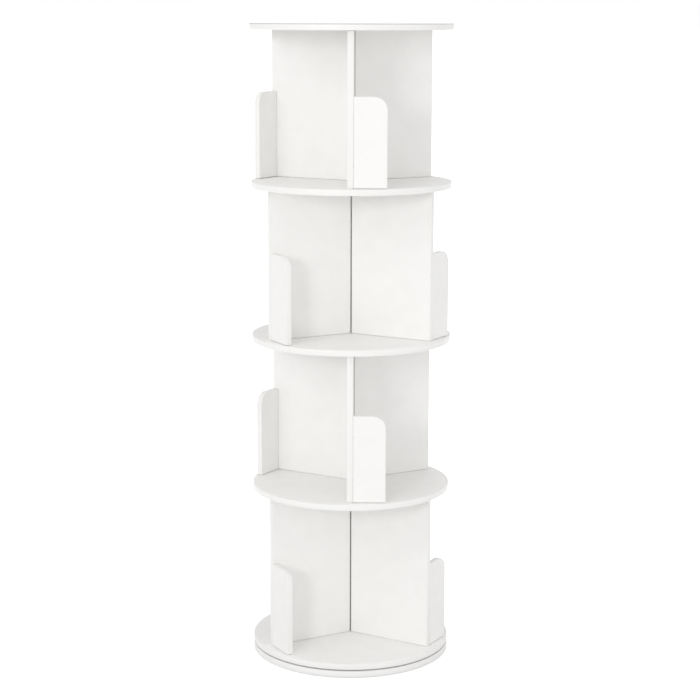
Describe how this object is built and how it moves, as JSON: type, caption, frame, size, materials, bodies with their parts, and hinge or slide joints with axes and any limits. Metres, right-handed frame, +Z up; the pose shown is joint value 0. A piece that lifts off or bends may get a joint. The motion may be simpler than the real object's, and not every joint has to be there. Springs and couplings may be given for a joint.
{
  "type": "rotating media tower",
  "caption": "Tall round revolving media tower of stacked disc shelves with radial dividers, short rounded side stops and a turntable bearing in its base.",
  "frame": {"origin": "on the floor, on the axis that the tower turns about", "axes": "+Z up; the front faces -Y, with +X to the viewer's right; the front divider of the top tier points along -Y"},
  "size_m": [0.4, 0.4, 1.275],
  "materials": {
    "white_board": "white melamine-faced chipboard with white edge banding, satin",
    "screw_steel": "zinc-plated steel",
    "bearing_alloy": "extruded aluminium, satin",
    "cage_nylon": "natural nylon with steel balls",
    "foot_foam": "stick-on foam pad, matt"
  },
  "bodies": {
    "base": {"base_disc": "white_board", "bearing_inner_ring": "bearing_alloy", "inner_ring_screw_a": "screw_steel", "inner_ring_screw_b": "screw_steel", "inner_ring_screw_c": "screw_steel", "inner_ring_screw_d": "screw_steel", "foot_pad_a": "foot_foam", "foot_pad_b": "foot_foam", "foot_pad_c": "foot_foam", "foot_pad_d": "foot_foam"},
    "ball_cage": {"bearing_ball_cage": "cage_nylon"},
    "tower": {"bottom_disc": "white_board", "shelf_disc_2": "white_board", "shelf_disc_3": "white_board", "shelf_disc_4": "white_board", "top_disc": "white_board", "bearing_outer_ring": "bearing_alloy", "outer_ring_screw_a": "screw_steel", "outer_ring_screw_b": "screw_steel", "outer_ring_screw_c": "screw_steel", "outer_ring_screw_d": "screw_steel", "divider_1_a": "white_board", "divider_1_b": "white_board", "divider_1_c": "white_board", "divider_2_a": "white_board", "divider_2_b": "white_board", "divider_2_c": "white_board", "divider_3_a": "white_board", "divider_3_b": "white_board", "divider_3_c": "white_board", "divider_4_a": "white_board", "divider_4_b": "white_board", "divider_4_c": "white_board", "media_stop_1_a": "white_board", "media_stop_1_b": "white_board", "media_stop_1_c": "white_board", "media_stop_2_a": "white_board", "media_stop_2_b": "white_board", "media_stop_2_c": "white_board", "media_stop_3_a": "white_board", "media_stop_3_b": "white_board", "media_stop_3_c": "white_board", "media_stop_4_a": "white_board", "media_stop_4_b": "white_board", "media_stop_4_c": "white_board", "divider_screw_1_a": "screw_steel", "divider_screw_1_b": "screw_steel", "divider_screw_1_c": "screw_steel", "divider_screw_2_a": "screw_steel", "divider_screw_2_b": "screw_steel", "divider_screw_2_c": "screw_steel", "divider_screw_3_a": "screw_steel", "divider_screw_3_b": "screw_steel", "divider_screw_3_c": "screw_steel", "divider_screw_4_a": "screw_steel", "divider_screw_4_b": "screw_steel", "divider_screw_4_c": "screw_steel", "top_screw_a": "screw_steel", "top_screw_b": "screw_steel", "top_screw_c": "screw_steel"}
  },
  "joints": [
    {"name": "swivel", "type": "hinge", "parent": "base", "child": "tower", "pos_m": [0, 0, 0.0155], "axis": [0, 0, 1], "continuous": true},
    {"name": "cage_spin", "type": "hinge", "parent": "base", "child": "ball_cage", "pos_m": [0, 0, 0.0155], "axis": [0, 0, 1], "continuous": true}
  ],
  "couplings": [
    {"joint": "cage_spin", "follows": "swivel", "ratio": 0.513}
  ]
}
